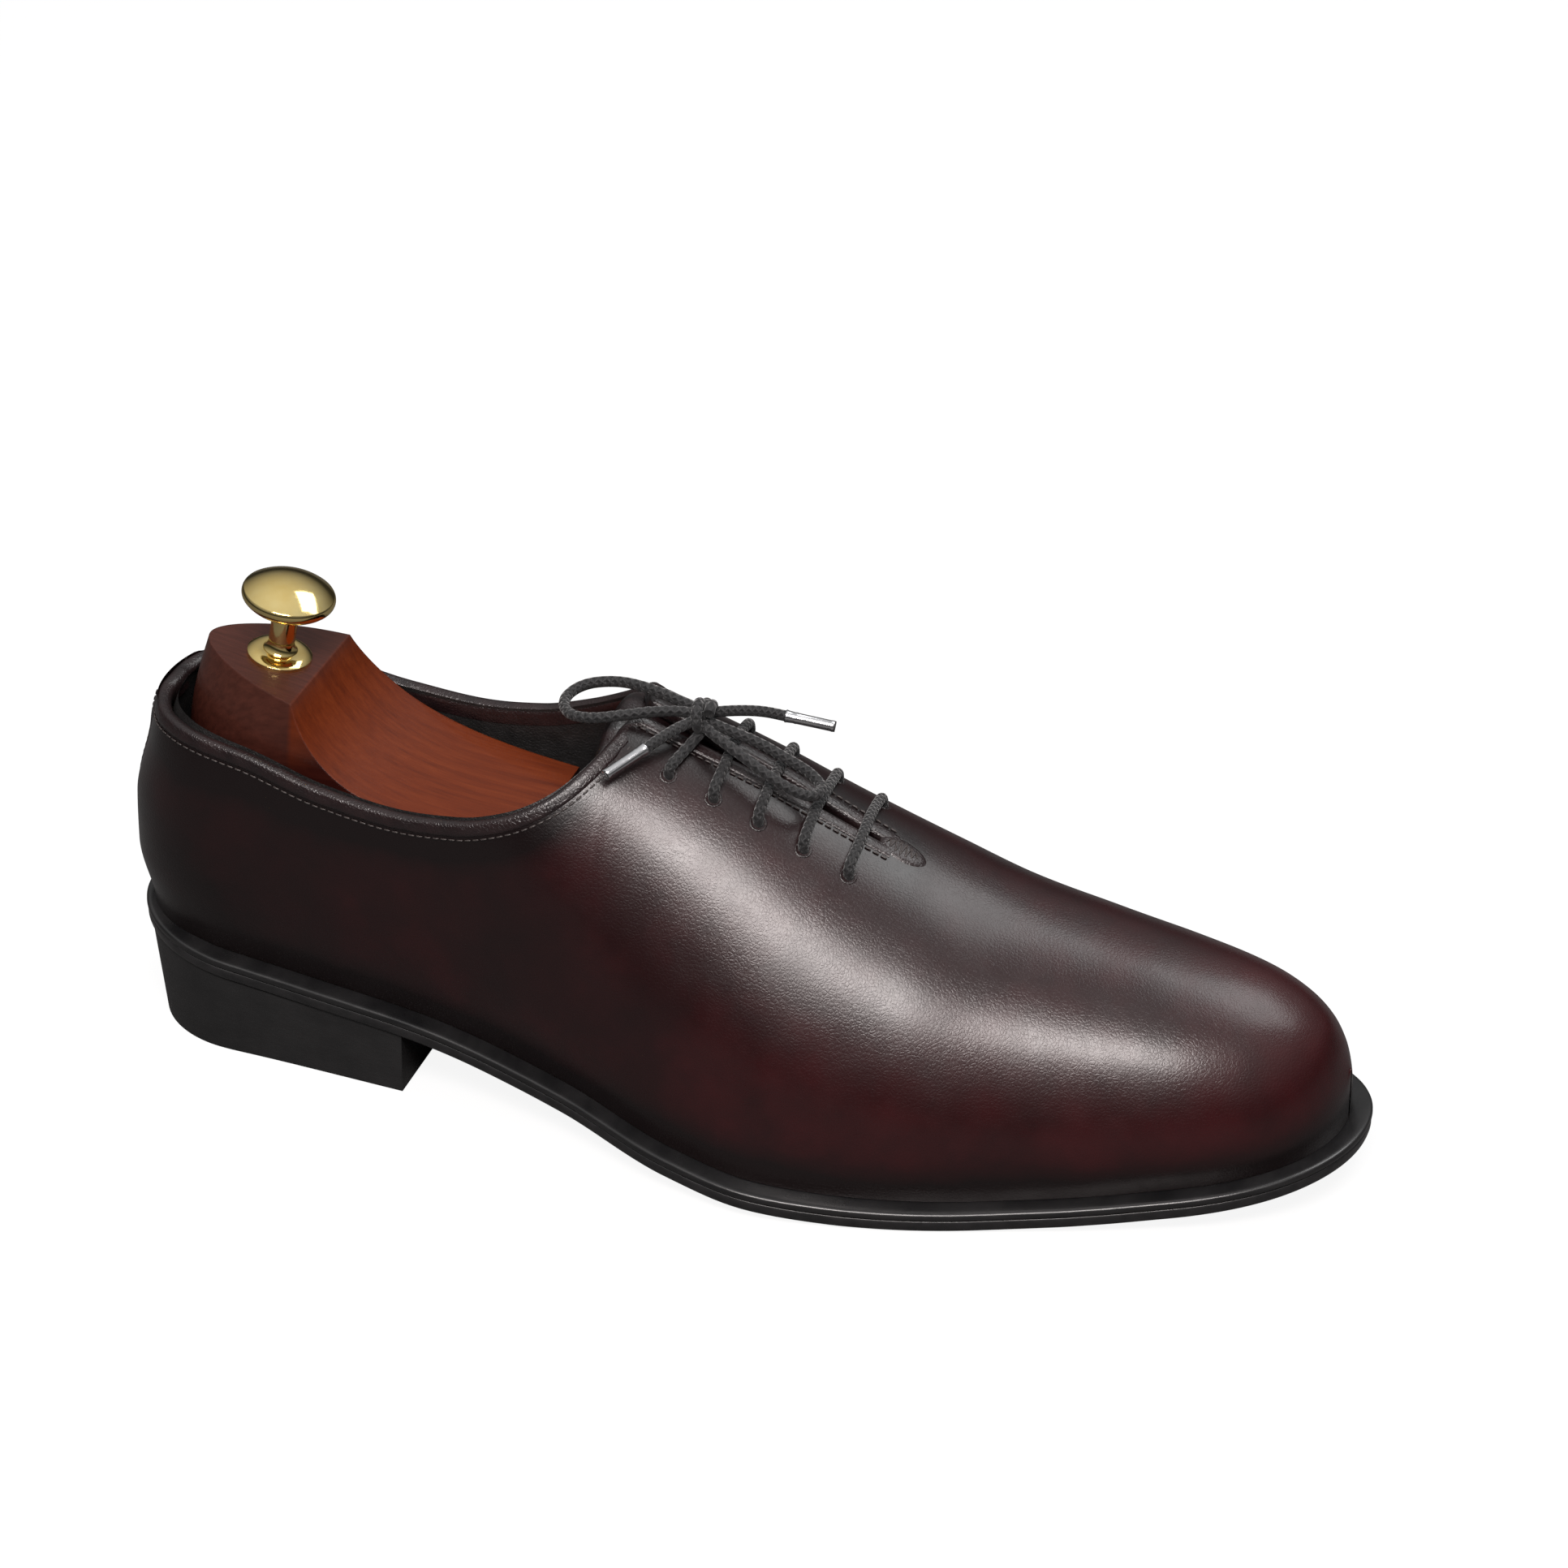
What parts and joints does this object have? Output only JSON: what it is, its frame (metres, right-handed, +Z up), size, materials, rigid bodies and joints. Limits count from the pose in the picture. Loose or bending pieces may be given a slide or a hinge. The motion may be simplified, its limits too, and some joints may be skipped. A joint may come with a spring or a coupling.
{
  "type": "laced oxford shoe",
  "caption": "Man's wholecut leather oxford, right foot, laced and tied, with a leather sole, stacked heel and a sprung wooden shoe tree whose heel block slides and lifts.",
  "frame": {"origin": "centre of the bounding box, on the ground under the heel and the ball", "axes": "+X to the toe, +Y to the inner (medial) side, +Z up"},
  "size_m": [0.303, 0.1015, 0.118],
  "materials": {
    "upper_leather": "glossy burnished calf",
    "dark_leather": "satin calf",
    "lining_leather": "matt lining calf",
    "stiffener": "pressed leather board",
    "textile": "woven cotton",
    "sole_leather": "polished sole leather",
    "edge_leather": "waxed black edge",
    "heel_rubber": "matt rubber",
    "cork": "cork paste",
    "lace": "waxed round braid",
    "aglet": "polished",
    "tree_wood": "stained and lacquered",
    "brass": "polished",
    "steel": "bright zinc"
  },
  "bodies": {
    "shoe": {"upper": "upper_leather", "heel_counter": "stiffener", "toe_puff": "stiffener", "eyelet_stays": "stiffener", "interlining": "textile", "quarter_lining": "lining_leather", "vamp_lining": "lining_leather", "topline_binding": "dark_leather", "back_strip": "dark_leather", "tongue": "upper_leather", "tongue_lining": "lining_leather", "insole": "sole_leather", "heel_pad": "lining_leather", "shank": "steel", "cork_filler": "cork", "bottom_filler": "cork", "welt": "edge_leather", "outsole": "sole_leather", "heel_nails": "steel", "heel_top_piece": "heel_rubber", "heel_lift_lower": "edge_leather", "heel_lift_upper": "edge_leather", "slit_leaf": "dark_leather", "lace_through_eyelets": "lace", "lace_loop_back": "lace", "lace_loop_front": "lace", "lace_end_left": "lace", "lace_end_right": "lace", "lace_knot": "lace", "aglet_left": "aglet", "aglet_right": "aglet", "tree_fore_block": "tree_wood", "tree_bush": "brass"},
    "tree_link": {"tree_tube": "steel", "tree_spring": "steel", "tree_hinge_fork": "steel", "tree_hinge_pin": "steel"},
    "tree_heel": {"tree_heel_block": "tree_wood", "tree_hinge_tang": "steel", "tang_screws": "brass", "knob_stud": "steel", "knob_rose": "brass", "tree_knob": "brass"}
  },
  "joints": [
    {"name": "tree_compress", "type": "slide", "parent": "shoe", "child": "tree_link", "axis": [1, 0, 0], "range_m": [0, 0.012], "stiffness_N_per_m": 900, "springref_m": -0.012, "deforming": ["tree_spring"]},
    {"name": "heel_block_swing", "type": "hinge", "parent": "tree_link", "child": "tree_heel", "pos_m": [-0.0395, 0.00265, 0.041], "axis": [0, 1, 0], "range_deg": [0, 35]}
  ]
}
